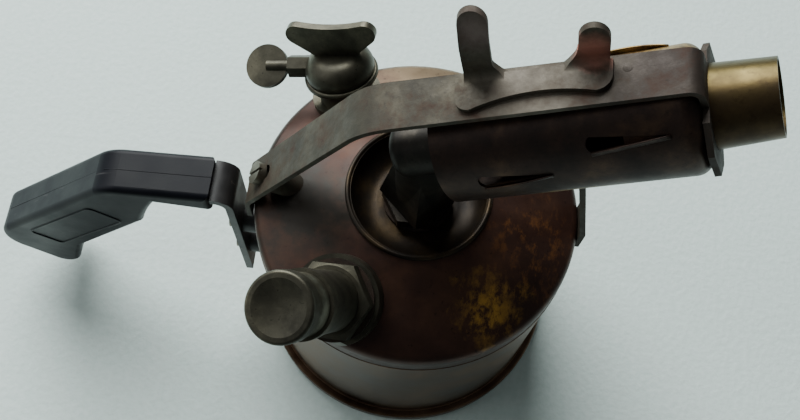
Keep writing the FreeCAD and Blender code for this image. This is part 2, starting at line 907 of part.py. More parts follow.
def filler_cap():
    rim = cap_seat + cap_rim_height
    low = (cap_radius - cap_rim_round, cap_seat + cap_rim_round)
    high = (cap_radius - cap_rim_round, rim - cap_rim_round)
    crown = cap_seat + cap_height
    bell = turned(
        (0, cap_seat),
        (low[0], cap_seat),
        (quarter(low, cap_rim_round, -45), (cap_radius, low[1])),
        (cap_radius, high[1]),
        (quarter(high, cap_rim_round, 45), (high[0], rim)),
        (cap_bell_radius, rim),
        ((cap_bell_radius * 0.88, rim + (crown - rim) * 0.72), (cap_crown_radius, crown)),
        (0, crown),
    )
    plug = rod(plug_radius, cap_seat - plug_length, cap_seat)
    cap = placed(joined(bell, plug, cap_wing()), filler_frame)
    cap = joined(cap, placed(hexagon(air_boss_flats, 0, air_boss_reach), air_frame))
    bottom = air_boss_reach - air_thread_length - seat_gap
    cap = cap.cut(placed(rod(air_thread + slide_gap, bottom, air_boss_reach + past), air_frame))
    cap = cap.cut(placed(rod(air_vent, 0, bottom + past), air_frame))
    vent = rod(air_vent, cap_seat - plug_length - past, cap_seat + air_height)
    return cap.cut(placed(vent, filler_frame))


def air_screw():
    seat = air_boss_reach + air_disc_gap
    centre = seat + air_disc_radius
    thread = rod(air_thread, air_boss_reach - air_thread_length, seat + air_neck_radius)
    neck = rod(air_neck_radius, air_boss_reach + seat_gap, centre)
    half = air_disc_thickness / 2
    disc = Part.makeCylinder(air_disc_radius, air_disc_thickness, Vector(0, -half, centre), Vector(0, 1, 0))
    return placed(joined(thread, neck, disc).rotated(Vector(), Vector(0, 0, 1), air_disc_turn), air_frame)


def pump_flange():
    flange = placed(rod(pump_flange_radius, -pump_flange_radius, pump_flange_height), pump_frame)
    bore = rod(barrel_hole, -2 * pump_flange_radius, pump_flange_height + past)
    return fitted_on_tank(flange).cut(placed(bore, pump_frame))


def pump_gasket():
    return placed(ring(pump_gasket_radius, barrel_hole, pump_flange_height, pump_nut_seat), pump_frame)


def pump_nut():
    top = pump_nut_seat + pump_nut_height
    corner = pump_nut_flats / math.sqrt(3)
    blank = hexagon(pump_nut_flats, pump_nut_seat, top)
    crown = turned(
        (0, pump_nut_seat),
        (corner + past, pump_nut_seat),
        (corner + past, top - pump_nut_chamfer),
        (pump_nut_flats / 2 - past / 2, top),
        (0, top),
    )
    nut = blank.common(crown).cut(rod(barrel_hole, pump_nut_seat - past, top + past))
    return placed(nut, pump_frame)


def pump_barrel():
    return placed(ring(barrel_radius, barrel_bore, -barrel_inside, barrel_outside), pump_frame)


def pump_cap():
    under = barrel_outside + seat_gap
    top = under + pump_cap_sheet
    low = barrel_outside - pump_cap_lip
    hole = rod_radius + slide_gap
    return placed(turned(
        (hole, under),
        (barrel_hole, under),
        (barrel_hole, low),
        (pump_cap_radius, low),
        (pump_cap_radius, top),
        (hole, top),
    ), pump_frame)


def pump_knob():
    top = knob_seat + knob_height
    rim = top - knob_rim_height
    flare = knob_waist + knob_flare
    back = (knob_radius - knob_round, rim + knob_round)
    face = (knob_radius - knob_round, top - knob_round)
    socket = rod_radius + seat_gap
    bowl = (knob_dish_radius ** 2 + knob_dish ** 2) / (2 * knob_dish)
    bowl_half = math.degrees(math.asin(knob_dish_radius / bowl)) / 2
    bowl_middle = quarter((0, top - knob_dish + bowl), bowl, bowl_half - 90)
    return placed(turned(
        (socket, knob_seat),
        (flare, knob_seat),
        ((knob_waist, (knob_seat + rim) / 2), (flare, rim)),
        (back[0], rim),
        (quarter(back, knob_round, -45), (knob_radius, back[1])),
        (knob_radius, face[1]),
        (quarter(face, knob_round, 45), (face[0], top)),
        (knob_dish_radius, top),
        (bowl_middle, (0, top - knob_dish)),
        (0, knob_seat + rod_grip),
        (socket, knob_seat + rod_grip),
    ), pump_frame)


def pump_rod():
    shaft = rod(rod_radius, piston_foot, knob_seat + rod_grip - seat_gap)
    collar = rod(rod_collar_radius, leather_top, leather_top + rod_collar_height)
    return placed(joined(shaft, collar), pump_frame)


def pump_leather():
    outer = barrel_bore - slide_gap
    hole = rod_radius + seat_gap
    skirt = leather_top - leather_height
    under = leather_top - leather_thickness
    return placed(turned(
        (hole, under),
        (outer - leather_thickness, under),
        (outer - leather_thickness, skirt),
        (outer, skirt),
        (outer, leather_top),
        (hole, leather_top),
    ), pump_frame)


def leather_washer():
    top = leather_top - leather_thickness
    low = top - leather_washer_thickness
    return placed(ring(leather_washer_radius, rod_radius + seat_gap, low, top), pump_frame)


def piston_nut():
    top = piston_foot + piston_nut_height
    nut = hexagon(piston_nut_flats, piston_foot, top)
    return placed(nut.cut(rod(rod_radius + seat_gap, piston_foot - past, top + past)), pump_frame)


def valve_body():
    plug_top = valve_plug_height - barrel_inside
    body = joined(
        rod(barrel_bore - seat_gap, -barrel_inside, plug_top),
        rod(valve_neck_radius, valve_bottom, -barrel_inside),
    )
    body = body.cut(rod(valve_chamber, valve_bottom + valve_floor, valve_seat))
    return placed(body.cut(rod(valve_port, valve_bottom - past, plug_top + past)), pump_frame)


def valve_pip():
    return placed(rod(pip_radius, valve_seat - seat_gap - pip_height, valve_seat - seat_gap), pump_frame)


def valve_spring():
    low = valve_bottom + valve_floor + spring_wire_radius + seat_gap
    high = valve_seat - 2 * seat_gap - pip_height - pip_lift - spring_wire_radius
    helix = Part.makeHelix((high - low) / spring_turns, high - low, spring_radius)
    start = Vector(spring_radius, 0, 0)
    wire = Part.Wire([Part.makeCircle(spring_wire_radius, start, Vector(0, 1, 0))])
    coil = Part.Wire(helix).makePipeShell([wire], True, True)
    return placed(coil.translated(Vector(0, 0, low)), pump_frame)


def pickup_tube():
    return ring(pickup_radius, pickup_radius - pickup_wall, pickup_bottom, stem_bottom + pickup_socket)


def pickup_strainer():
    bore = pickup_radius + seat_gap
    outer = bore + strainer_wall
    low = pickup_bottom - seat_gap - strainer_wall
    cup = rod(outer, low, pickup_bottom + strainer_height)
    return cup.cut(rod(bore, low + strainer_wall, pickup_bottom + strainer_height + past))


def handle_bracket():
    shoulder = grip_front + seat_gap
    line = [(shoulder, bracket_top), (bracket_middle, bracket_top), (bracket_middle, bracket_bottom)]
    strip = slab(strip_face(line, [bracket_bend], bracket_sheet), -bracket_width / 2, bracket_width / 2)
    tang = Part.makeBox(
        tang_length + past, tang_width, bracket_sheet,
        Vector(grip_front - tang_length, -tang_width / 2, bracket_top - bracket_sheet / 2),
    )
    bracket = joined(strip, tang)
    for height in (lower_boss_height, upper_boss_height):
        hole = rod(screw_radius + seat_gap, -bracket_sheet - past, past)
        bracket = bracket.cut(placed(hole, bracket_screw_frame(height)))
    return bracket


def bracket_screw_frame(height):
    """Frame on the outside of the bracket, with +Z away from the tank."""
    return frame_at(Vector(bracket_outer, 0, height), Vector(-1, 0, 0), Vector(0, 0, 1))


def handle_bosses():
    bosses = []
    for height in (lower_boss_height, upper_boss_height):
        frame = bracket_screw_frame(height)
        depth = bracket_sheet + bracket_stand_off
        boss = placed(rod(boss_radius, -depth - boss_radius, -bracket_sheet), frame).cut(tank_body(0))
        hole = rod(screw_radius + seat_gap, -bracket_screw_length - seat_gap, past)
        bosses.append(boss.cut(placed(hole, frame)))
    return Part.makeCompound(bosses)


def bracket_screws():
    heights = (lower_boss_height, upper_boss_height)
    screw = cheese_head_screw(bracket_screw_length)
    return Part.makeCompound([placed(screw, bracket_screw_frame(height)) for height in heights])


def grip():
    top = bracket_top + grip_arm_above
    under = bracket_top - grip_arm_below
    knee = (grip_front - grip_arm_length, top - grip_arm_fall)
    slope = math.radians(grip_slope)

    def on_slope(along, depth):
        x = knee[0] - along * math.cos(slope) + depth * math.sin(slope)
        z = knee[1] - along * math.sin(slope) - depth * math.cos(slope)
        return x, z

    toe = grip_toe_length
    deep = grip_toe_depth
    outline = closed_face(
        (grip_front, top),
        (knee[0] + grip_knee, knee[1] + grip_arm_fall * grip_knee / grip_arm_length),
        (on_slope(grip_knee * 0.1, grip_knee * 0.2), on_slope(grip_knee, 0)),
        on_slope(grip_slope_length, 0),
        (on_slope(toe - grip_toe_back, grip_toe_fall), on_slope(toe, deep * 0.42)),
        on_slope(toe + grip_toe_bulge, deep * 0.85),
        (on_slope(toe - grip_toe_corner, deep), on_slope(toe - grip_toe_under, deep)),
        on_slope(toe - grip_heel_back, grip_depth + grip_heel_drop),
        on_slope(grip_slope_length / 6, grip_depth),
        (on_slope(0, grip_depth - grip_palm_round), (grip_front - grip_finger_reach, under + grip_arm_fall)),
        (grip_front, under),
    )
    body = slab(outline, -grip_half_width, grip_half_width)
    sides = [edge for edge in body.Edges if abs(abs(edge.CenterOfMass.y) - grip_half_width) < seat_gap]
    body = body.makeFillet(grip_round, sides)
    height = bracket_sheet + 2 * seat_gap
    width = tang_width + 2 * seat_gap
    pocket = Part.makeBox(
        tang_length + seat_gap + past, width, height,
        Vector(grip_front - tang_length - seat_gap, -width / 2, bracket_top - height / 2),
    )
    return body.cut(pocket)


top_shell = tank_top()
nodes = {
    "tank_wall": tank_wall(),
    "tank_top": top_shell,
    "tank_base": tank_base(),
    "foot_ring": foot_ring(),
    "spirit_cup": spirit_cup(top_shell),
    "centre_bush": centre_bush(),
    "stem_washer": stem_washer(),
    "burner_stem": burner_stem(),
    "jet_nipple": jet_nipple(),
    "flame_tube": flame_tube(),
    "vaporiser_feed_tube": vaporiser_tube(feed_lug_angle),
    "vaporiser_return_tube": vaporiser_tube(return_lug_angle),
    "vaporiser_ring": vaporiser_ring(),
    "burner_sleeve": burner_sleeve(),
    "burner_strap": burner_strap(),
    "strap_yoke": strap_yoke(),
    "strap_post": strap_post(),
    "strap_screw": strap_screw(),
    "iron_rest": iron_rest(),
    "front_stay": front_stay(),
    "filler_neck": filler_neck(),
    "filler_washer": filler_washer(),
    "filler_cap": filler_cap(),
    "air_screw": air_screw(),
    "pump_flange": pump_flange(),
    "pump_gasket": pump_gasket(),
    "pump_nut": pump_nut(),
    "pump_barrel": pump_barrel(),
    "pump_cap": pump_cap(),
    "pump_knob": pump_knob(),
    "pump_rod": pump_rod(),
    "pump_leather": pump_leather(),
    "leather_washer": leather_washer(),
    "piston_nut": piston_nut(),
    "valve_body": valve_body(),
    "valve_pip": valve_pip(),
    "valve_spring": valve_spring(),
    "pickup_tube": pickup_tube(),
    "pickup_strainer": pickup_strainer(),
    "handle_bracket": handle_bracket(),
    "handle_bosses": handle_bosses(),
    "bracket_screws": bracket_screws(),
    "grip": grip(),
}

os.makedirs("parts", exist_ok=True)
for name, shape in nodes.items():
    shape.exportStep("parts/" + name + ".step")
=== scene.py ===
import json
import math

import bpy
from mathutils import Matrix, Vector


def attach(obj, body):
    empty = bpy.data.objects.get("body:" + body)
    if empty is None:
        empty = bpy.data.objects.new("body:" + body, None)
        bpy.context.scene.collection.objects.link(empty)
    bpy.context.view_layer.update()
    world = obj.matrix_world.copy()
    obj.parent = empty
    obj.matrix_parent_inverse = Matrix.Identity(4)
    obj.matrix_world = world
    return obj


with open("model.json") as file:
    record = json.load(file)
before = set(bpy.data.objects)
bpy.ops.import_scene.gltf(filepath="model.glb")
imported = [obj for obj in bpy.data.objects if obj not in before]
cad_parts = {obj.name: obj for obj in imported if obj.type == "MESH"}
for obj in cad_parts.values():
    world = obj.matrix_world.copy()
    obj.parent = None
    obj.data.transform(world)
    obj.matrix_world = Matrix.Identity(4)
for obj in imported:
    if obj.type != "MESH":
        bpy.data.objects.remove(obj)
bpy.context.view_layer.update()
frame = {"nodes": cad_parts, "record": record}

# Rise of the burner line towards the flame
burner_tilt = math.radians(29)


# Small helpers for shader trees

def srgb(red, green, blue):
    """Linear colour from screen values of 0 to 255."""
    def line(value):
        share = value / 255
        return share / 12.92 if share <= 0.04045 else ((share + 0.055) / 1.055) ** 2.4
    return line(red), line(green), line(blue), 1


def add(tree, kind, inputs, **settings):
    """A new node, with its settings, and its inputs set or linked."""
    made = tree.nodes.new(kind)
    for key, value in settings.items():
        setattr(made, key, value)
    for key, value in inputs.items():
        if isinstance(value, bpy.types.NodeSocket):
            tree.links.new(value, made.inputs[key])
        else:
            made.inputs[key].default_value = value
    return made


def noise(tree, place, scale, detail=5, rough=0.6, stretch=(1, 1, 1)):
    """Noise over the object's own coordinates, in metres."""
    mapping = add(tree, "ShaderNodeMapping", {"Vector": place, "Scale": stretch})
    made = add(tree, "ShaderNodeTexNoise", {
        "Vector": mapping.outputs["Vector"], "Scale": scale, "Detail": detail, "Roughness": rough})
    return made.outputs["Fac"]


def ramp(tree, factor, *stops):
    """Colours along a factor, from (place, colour) stops."""
    made = add(tree, "ShaderNodeValToRGB", {"Fac": factor})
    band = made.color_ramp
    while len(band.elements) < len(stops):
        band.elements.new(0.5)
    for element, (place, colour) in zip(band.elements, stops):
        element.position = place
        element.color = colour
    return made.outputs["Color"]


def mixed(tree, factor, first, second):
    """Blend of two colours."""
    made = add(tree, "ShaderNodeMix", {0: factor, 6: first, 7: second}, data_type="RGBA")
    return made.outputs[2]


def span(tree, value, low, high, to_low, to_high):
    """A value carried from one range to another, held at the ends."""
    made = add(tree, "ShaderNodeMapRange", {
        "Value": value, "From Min": low, "From Max": high, "To Min": to_low, "To Max": to_high})
    return made.outputs["Result"]


def both(tree, first, second):
    """Product of two factors."""
    return add(tree, "ShaderNodeMath", {0: first, 1: second}, operation="MULTIPLY").outputs["Value"]


def near(tree, place, centre, reach, ragged, strength):
    """Soft ragged patch around a point: strength in its middle, 0 past its reach."""
    gap = add(tree, "ShaderNodeVectorMath", {0: place, 1: centre}, operation="DISTANCE").outputs["Value"]
    edge = both(tree, ragged, reach)
    total = add(tree, "ShaderNodeMath", {0: gap, 1: edge}, operation="ADD").outputs["Value"]
    return span(tree, total, reach * 0.75, reach * 1.45, strength, 0)


def surface(name, metallic, specular=0.5):
    """A material with a principled shader: its tree, shader and object coordinates."""
    made = bpy.data.materials.new(name)
    made.use_nodes = True
    tree = made.node_tree
    shader = tree.nodes["Principled BSDF"]
    shader.inputs["Metallic"].default_value = metallic
    shader.inputs["Specular IOR Level"].default_value = specular
    place = add(tree, "ShaderNodeTexCoord", {}).outputs["Object"]
    return made, tree, shader, place


def finish_surface(tree, shader, colour, roughness, height, strength, depth):
    """Links a surface's colour and roughness, and its bump of a real depth in metres."""
    tree.links.new(colour, shader.inputs["Base Color"])
    tree.links.new(roughness, shader.inputs["Roughness"])
    bump = add(tree, "ShaderNodeBump", {"Height": height, "Strength": strength, "Distance": depth})
    tree.links.new(bump.outputs["Normal"], shader.inputs["Normal"])


def old_metal(name, dark, middle, light, rough_low, rough_high, metallic=1.0):
    """Tarnished metal: broad stains, fine mottling, small specks and a faint uneven surface."""
    made, tree, shader, place = surface(name, metallic)
    broad = noise(tree, place, 55, 7, 0.65)
    fine = noise(tree, place, 495, 4, 0.7)
    specks = noise(tree, place, 880, 2, 0.5)
    stain = ramp(tree, broad, (0.34, dark), (0.5, middle), (0.68, light))
    dull = ramp(tree, fine, (0.3, dark), (0.75, middle))
    colour = mixed(tree, span(tree, fine, 0.45, 0.7, 0.05, 0.45), stain, dull)
    colour = mixed(tree, span(tree, specks, 0.66, 0.74, 0, 0.75), colour, dark)
    roughness = span(tree, broad, 0.3, 0.7, rough_high, rough_low)
    finish_surface(tree, shader, colour, roughness, fine, 0.35, 0.00012)
    return made


def dome_brass():
    """Tank top: glossy reddish-brown tarnish, with a painted grey reflection by the grip and a painted pale
    reflection at the back, rubbed to gold at the front, with specks.
    """
    made, tree, shader, place = surface("dome_brass", 0.6)
    broad = noise(tree, place, 34, 7, 0.6)
    cloud = noise(tree, place, 90, 5, 0.65)
    flakes = noise(tree, place, 260, 5, 0.75, (1, 0.55, 1))
    fine = noise(tree, place, 520, 3, 0.6)
    specks = noise(tree, place, 700, 2, 0.5)
    colour = ramp(tree, broad, (0.32, srgb(42, 26, 22)), (0.5, srgb(64, 41, 33)), (0.7, srgb(90, 60, 44)))
    ragged = span(tree, cloud, 0.25, 0.75, 0, 0.9)
    # Painted reflection: a greyer patch by the grip stands in for the window's sheen on the dome
    grey = near(tree, place, (-0.034, -0.006, 0.087), 0.03, ragged, 0.9)
    colour = mixed(tree, grey, colour, srgb(32, 32, 28))
    # Painted reflection: a pale tan patch at the back of the dome, where it mirrors the bright window
    pale = near(tree, place, (0.001, 0.047, 0.0845), 0.025, ragged, 0.8)
    colour = mixed(tree, pale, colour, srgb(128, 110, 86))
    rubbed = near(tree, place, (0.025, -0.033, 0.0874), 0.013, ragged, 1.0)
    gold = both(tree, rubbed, span(tree, flakes, 0.44, 0.6, 0, 0.85))
    colour = mixed(tree, gold, colour, srgb(196, 146, 62))
    spotted = near(tree, place, (0.036, -0.012, 0.088), 0.019, ragged, 1.0)
    spots = both(tree, spotted, span(tree, flakes, 0.5, 0.64, 0, 0.5))
    colour = mixed(tree, spots, colour, srgb(150, 96, 48))
    colour = mixed(tree, span(tree, specks, 0.66, 0.74, 0, 0.6), colour, srgb(30, 18, 14))
    roughness = span(tree, cloud, 0.3, 0.7, 0.32, 0.5)
    finish_surface(tree, shader, colour, roughness, fine, 0.2, 0.00008)
    return made


def wall_brass():
    """Tank wall: paler brass with streaks down it and dull spots."""
    made, tree, shader, place = surface("wall_brass", 1.0)
    streaks = noise(tree, place, 60, 5, 0.6, (1, 1, 0.18))
    cloud = noise(tree, place, 45, 6, 0.62)
    fine = noise(tree, place, 600, 3, 0.6)
    colour = ramp(tree, cloud, (0.3, srgb(64, 46, 36)), (0.5, srgb(94, 73, 58)), (0.7, srgb(122, 98, 80)))
    colour = mixed(tree, span(tree, streaks, 0.5, 0.75, 0, 0.5), colour, srgb(62, 42, 32))
    roughness = span(tree, cloud, 0.3, 0.7, 0.3, 0.45)
    finish_surface(tree, shader, colour, roughness, fine, 0.2, 0.00008)
    return made


def rusty_steel():
    """Strap steel: grey-brown with rust and pitting, worn on the rest, burnt at the front, reddish on the
    front prong with painted light on it and on the rear prong.
    """
    made, tree, shader, place = surface("rusty_steel", 0.5)
    broad = noise(tree, place, 70, 7, 0.65)
    fine = noise(tree, place, 700, 4, 0.7)
    colour = ramp(tree, broad, (0.3, srgb(43, 39, 32)), (0.5, srgb(62, 57, 47)), (0.66, srgb(83, 77, 64)))
    rust = noise(tree, place, 120, 6, 0.7)
    burnt = near(tree, place, (0.058, 0, 0.172), 0.034, rust, 0.75)
    colour = mixed(tree, burnt, colour, srgb(50, 39, 35))
    colour = mixed(tree, span(tree, rust, 0.5, 0.68, 0, 0.7), colour, srgb(72, 50, 40))
    colour = mixed(tree, span(tree, fine, 0.56, 0.72, 0, 0.6), colour, srgb(42, 35, 30))
    worn = near(tree, place, (0.021, 0, 0.162), 0.019, rust, 0.75)
    colour = mixed(tree, worn, colour, srgb(104, 96, 86))
    sooty = near(tree, place, (0.068, -0.011, 0.159), 0.015, rust, 0.85)
    colour = mixed(tree, sooty, colour, srgb(36, 28, 25))
    # Reddish mark on the front prong, its colour raised well past its own tone as painted light on the shaded
    # face
    red = near(tree, place, (0.0355, 0.0054, 0.172), 0.0068, rust, 0.9)
    colour = mixed(tree, red, colour, srgb(176, 110, 94))
    # Painted light: a paler patch lightening the rear prong's shaded face
    painted_light_rear_prong = near(tree, place, (0.0075, 0.0065, 0.172), 0.008, rust, 0.8)
    colour = mixed(tree, painted_light_rear_prong, colour, srgb(112, 96, 92))
    roughness = span(tree, rust, 0.35, 0.7, 0.52, 0.8)
    finish_surface(tree, shader, colour, roughness, fine, 0.5, 0.00015)
    return made


def nozzle_metal():
    """Flame tube: brass, golden on its far side as a painted reflection and browner on its near side as
    painted shade.
    """
    made, tree, shader, place = surface("nozzle_brass", 0.9)
    broad = noise(tree, place, 60, 6, 0.65)
    fine = noise(tree, place, 520, 4, 0.7)
    gold = ramp(tree, broad, (0.34, srgb(55, 47, 27)), (0.5, srgb(82, 71, 40)), (0.68, srgb(101, 88, 53)))
    brown = ramp(tree, broad, (0.34, srgb(56, 45, 34)), (0.66, srgb(90, 73, 50)))
    # Painted reflection and shade: the far side mixes to gold, the near side to brown
    across = add(tree, "ShaderNodeSeparateXYZ", {"Vector": place}).outputs["Y"]
    wander = span(tree, broad, 0.3, 0.7, -0.002, 0.002)
    side = add(tree, "ShaderNodeMath", {0: across, 1: wander}, operation="ADD").outputs["Value"]
    colour = mixed(tree, span(tree, side, -0.0055, 0.0035, 0, 1), brown, gold)
    colour = mixed(tree, span(tree, fine, 0.56, 0.72, 0, 0.6), colour, srgb(50, 38, 28))
    roughness = span(tree, broad, 0.3, 0.7, 0.46, 0.3)
    finish_surface(tree, shader, colour, roughness, fine, 0.3, 0.0001)
    return made


def sleeve_metal():
    """Burner sleeve: brass browned almost black, with painted golden glints along its underside and its far
    side.
    """
    made, tree, shader, place = surface("sleeve_brass", 0.65)
    broad = noise(tree, place, 55, 7, 0.65)
    fine = noise(tree, place, 500, 4, 0.7)
    colour = ramp(tree, broad, (0.34, srgb(33, 23, 21)), (0.5, srgb(51, 36, 30)), (0.68, srgb(82, 61, 45)))
    ragged = span(tree, broad, 0.25, 0.75, 0, 0.9)
    flakes = span(tree, noise(tree, place, 210, 5, 0.7), 0.36, 0.56, 0.15, 1)
    # Coordinates turned level with the burner line and shrunk along it, so that the painted glints become
    # strips
    level = add(tree, "ShaderNodeMapping", {"Vector": place, "Rotation": (0, burner_tilt, 0)})
    drawn = add(tree, "ShaderNodeMapping", {"Vector": level.outputs["Vector"], "Scale": (0.3, 1, 1)})
    strip = drawn.outputs["Vector"]
    # Painted reflections: ragged golden glints along the near underside and the far side of the sleeve
    for centre, reach in (((0.0314, -0.0141, 0.0993), 0.0046), ((0.0359, 0.0125, 0.118), 0.007)):
        painted_glint = both(tree, near(tree, strip, centre, reach, ragged, 0.9), flakes)
        colour = mixed(tree, painted_glint, colour, srgb(186, 154, 96))
    colour = mixed(tree, span(tree, fine, 0.56, 0.72, 0, 0.55), colour, srgb(26, 18, 16))
    roughness = span(tree, broad, 0.3, 0.7, 0.52, 0.36)
    finish_surface(tree, shader, colour, roughness, fine, 0.35, 0.00012)
    return made


def black_moulding():
    """Grip: black moulded plastic with a faint blue cast, rubbed dull in places, with fine scratches."""
    made, tree, shader, place = surface("black_moulding", 0.0, 0.14)
    broad = noise(tree, place, 60, 5, 0.6)
    scratch = noise(tree, place, 260, 3, 0.6, (0.25, 2.2, 0.25))
    fine = noise(tree, place, 900, 3, 0.6)
    colour = ramp(tree, broad, (0.3, srgb(12, 13, 18)), (0.6, srgb(18, 19, 26)), (0.8, srgb(30, 31, 39)))
    colour = mixed(tree, span(tree, scratch, 0.66, 0.74, 0, 0.5), colour, srgb(84, 82, 82))
    roughness = span(tree, broad, 0.3, 0.7, 0.3, 0.5)
    finish_surface(tree, shader, colour, roughness, fine, 0.15, 0.00006)
    return made


def black_paint():
    """Bracket: worn black paint, chipped to grey metal."""
    made, tree, shader, place = surface("black_paint", 0.0)
    broad = noise(tree, place, 90, 6, 0.65)
    chips = noise(tree, place, 320, 5, 0.7)
    colour = ramp(tree, broad, (0.3, srgb(18, 18, 19)), (0.7, srgb(44, 42, 42)))
    colour = mixed(tree, span(tree, chips, 0.64, 0.7, 0, 0.8), colour, srgb(112, 104, 96))
    roughness = span(tree, broad, 0.3, 0.7, 0.35, 0.55)
    finish_surface(tree, shader, colour, roughness, chips, 0.3, 0.0001)
    return made


def soft_seal(name, dark, light):
    """Fibre, rubber or leather: matt, with a fine grain."""
    made, tree, shader, place = surface(name, 0.0, 0.3)
    broad = noise(tree, place, 140, 5, 0.6)
    fine = noise(tree, place, 1400, 3, 0.6)
    colour = ramp(tree, broad, (0.3, dark), (0.7, light))
    roughness = span(tree, fine, 0.3, 0.7, 0.7, 0.95)
    finish_surface(tree, shader, colour, roughness, fine, 0.5, 0.0001)
    return made


dome = dome_brass()
wall = wall_brass()
steel = rusty_steel()
moulding = black_moulding()
paint = black_paint()
nozzle_brass = nozzle_metal()
sleeve_brass = sleeve_metal()
cup_brass = old_metal(
    "cup_brass", srgb(25, 21, 18), srgb(44, 36, 28), srgb(80, 64, 42), 0.34, 0.5, metallic=0.75)
burner_brass = old_metal(
    "burner_brass", srgb(44, 31, 28), srgb(68, 49, 41), srgb(110, 84, 60), 0.34, 0.52, metallic=0.65)
stem_bronze = old_metal(
    "stem_bronze", srgb(28, 26, 25), srgb(48, 45, 42), srgb(84, 78, 70), 0.38, 0.55, metallic=0.8)
fitting_brass = old_metal(
    "fitting_brass", srgb(46, 44, 37), srgb(76, 73, 62), srgb(114, 109, 92), 0.32, 0.5, metallic=0.8)
screw_steel = old_metal(
    "screw_steel", srgb(74, 68, 60), srgb(126, 120, 108), srgb(176, 170, 158), 0.34, 0.55)
fibre = soft_seal("fibre", srgb(32, 24, 20), srgb(62, 48, 38))
hide = soft_seal("hide", srgb(70, 40, 22), srgb(122, 78, 46))

finishes = {
    "tank_brass": wall, "cup_brass": cup_brass, "burner_brass": burner_brass, "stem_bronze": stem_bronze,
    "fitting_brass": fitting_brass, "strap_steel": steel, "screw_steel": screw_steel, "bracket_black": paint,
    "grip_moulding": moulding, "sealing_fibre": fibre, "pump_leather_hide": hide,
}
own_finish = {"tank_top": dome, "flame_tube": nozzle_brass, "burner_sleeve": sleeve_brass}
for entry in frame["record"]["subparts"]:
    name = entry["node"]
    cad = frame["nodes"][name]
    cad.material_slots[0].material = own_finish.get(name, finishes[entry["material_slot"]])


# Detail pieces, in metres

def piece(name, mesh, finish):
    """A new object from a mesh, smooth-shaded, riding on the lamp."""
    made = bpy.data.objects.new(name, mesh)
    mesh.materials.append(finish)
    for face in mesh.polygons:
        face.use_smooth = True
    bpy.context.scene.collection.objects.link(made)
    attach(made, "lamp")
    return made


def bead(name, points, radius, closed, finish):
    """A thin raised line along points."""
    curve = bpy.data.curves.new(name, "CURVE")
    curve.dimensions = "3D"
    curve.bevel_depth = radius
    curve.bevel_resolution = 3
    spline = curve.splines.new("POLY")
    spline.points.add(len(points) - 1)
    for knot, place in zip(spline.points, points):
        knot.co = (*place, 1)
    spline.use_cyclic_u = closed
    curve.materials.append(finish)
    made = bpy.data.objects.new(name, curve)
    bpy.context.scene.collection.objects.link(made)
    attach(made, "lamp")


burner_along = Vector((math.cos(burner_tilt), 0, math.sin(burner_tilt)))
burner_down = Vector((math.sin(burner_tilt), 0, -math.cos(burner_tilt)))
burner_base = Vector((0, 0, 0.1229))
sleeve_radius = 0.0163


def on_burner(along, degrees, radius):
    """Point around the burner line: degrees above its near side."""
    angle = math.radians(degrees)
    out = -burner_down * math.sin(angle) - Vector((0, 1, 0)) * math.cos(angle)
    return burner_base + burner_along * along + out * radius


def louvre_lip(name, along, degrees):
    """Pressed lip that flares out of a louvre's lower edge and closes over its ends."""
    length = 0.019
    half_width = 0.002
    flare = 0.0013
    clear = 0.00004
    lower = -1 if degrees <= 90 else 1
    stations = 14
    steps = 5
    points = []
    faces = []
    for k in range(stations + 1):
        share = k / stations
        half_angle = math.degrees(half_width * (1 - share) / sleeve_radius)
        swell = math.sin(math.pi * min(1, share * 0.92 + 0.06)) ** 0.6
        for j in range(steps + 1):
            lift = j / steps
            rise = flare * swell * math.sin(lift * math.pi / 2)
            lean = lower * (half_angle + 3.5 * (1 - lift) ** 2 - 1.2 * lift * swell)
            points.append(on_burner(along + length * share, degrees + lean, sleeve_radius + clear + rise))
    for k in range(stations):
        for j in range(steps):
            corner = k * (steps + 1) + j
            faces.append((corner, corner + 1, corner + steps + 2, corner + steps + 1))
    mesh = bpy.data.meshes.new(name)
    mesh.from_pydata(points, [], faces)
    lip = piece(name, mesh, sleeve_brass)
    skin = lip.modifiers.new("sheet", "SOLIDIFY")
    skin.thickness = 0.0004
    skin.offset = 0


# Each louvre's place along the burner line, and its angle above the near side
louvres = ((0.050, 42), (0.020, 17), (0.050, 138), (0.020, 163), (0.035, 270))
for number, (along, degrees) in enumerate(louvres):
    louvre_lip("louvre_lip_%d" % number, along, degrees)


def ring_points(radius, height, count=96):
    """Points around the tank's axis."""
    steps = [2 * math.pi * k / count for k in range(count)]
    return [(radius * math.cos(a), radius * math.sin(a), height) for a in steps]


bead("wall_seam", ring_points(0.0525, 0.0746), 0.00022, True, wall)
bead("foot_solder", ring_points(0.05255, 0.00505), 0.0005, True, wall)

# Buttons left by the spot welds of the rest and the strap
rest_origin = Vector((0.0058, 0, 0.15201))
rest_along = Vector((0.91008, 0, 0.41448))
rest_out = Vector((-0.41448, 0, 0.91008))
rest_sheet = 0.0016


def on_rest(along, across, out):
    """Point from the rest's rear corner, on the strap's top."""
    return rest_origin + rest_along * along + Vector((0, across, 0)) + rest_out * out


def spot_weld(name, along, across, out):
    """Low round button left by a spot weld."""
    radius = 0.0015
    height = 0.00022
    sink = 0.00004
    rings = 5
    count = 28
    points = [on_rest(along, across, out + height)]
    faces = []
    for ring in range(1, rings + 1):
        share = ring / rings
        rise = height * math.cos(share * math.pi / 2) - sink
        for k in range(count):
            angle = 2 * math.pi * k / count
            reach = radius * share
            point = on_rest(along + reach * math.cos(angle), across + reach * math.sin(angle), out + rise)
            points.append(point)
    for k in range(count):
        beside = (k + 1) % count
        faces.append((0, 1 + k, 1 + beside))
        for ring in range(rings - 1):
            low = 1 + ring * count
            high = low + count
            faces.append((low + k, high + k, high + beside, low + beside))
    mesh = bpy.data.meshes.new(name)
    mesh.from_pydata(points, [], faces)
    mesh.update()
    piece(name, mesh, steel)


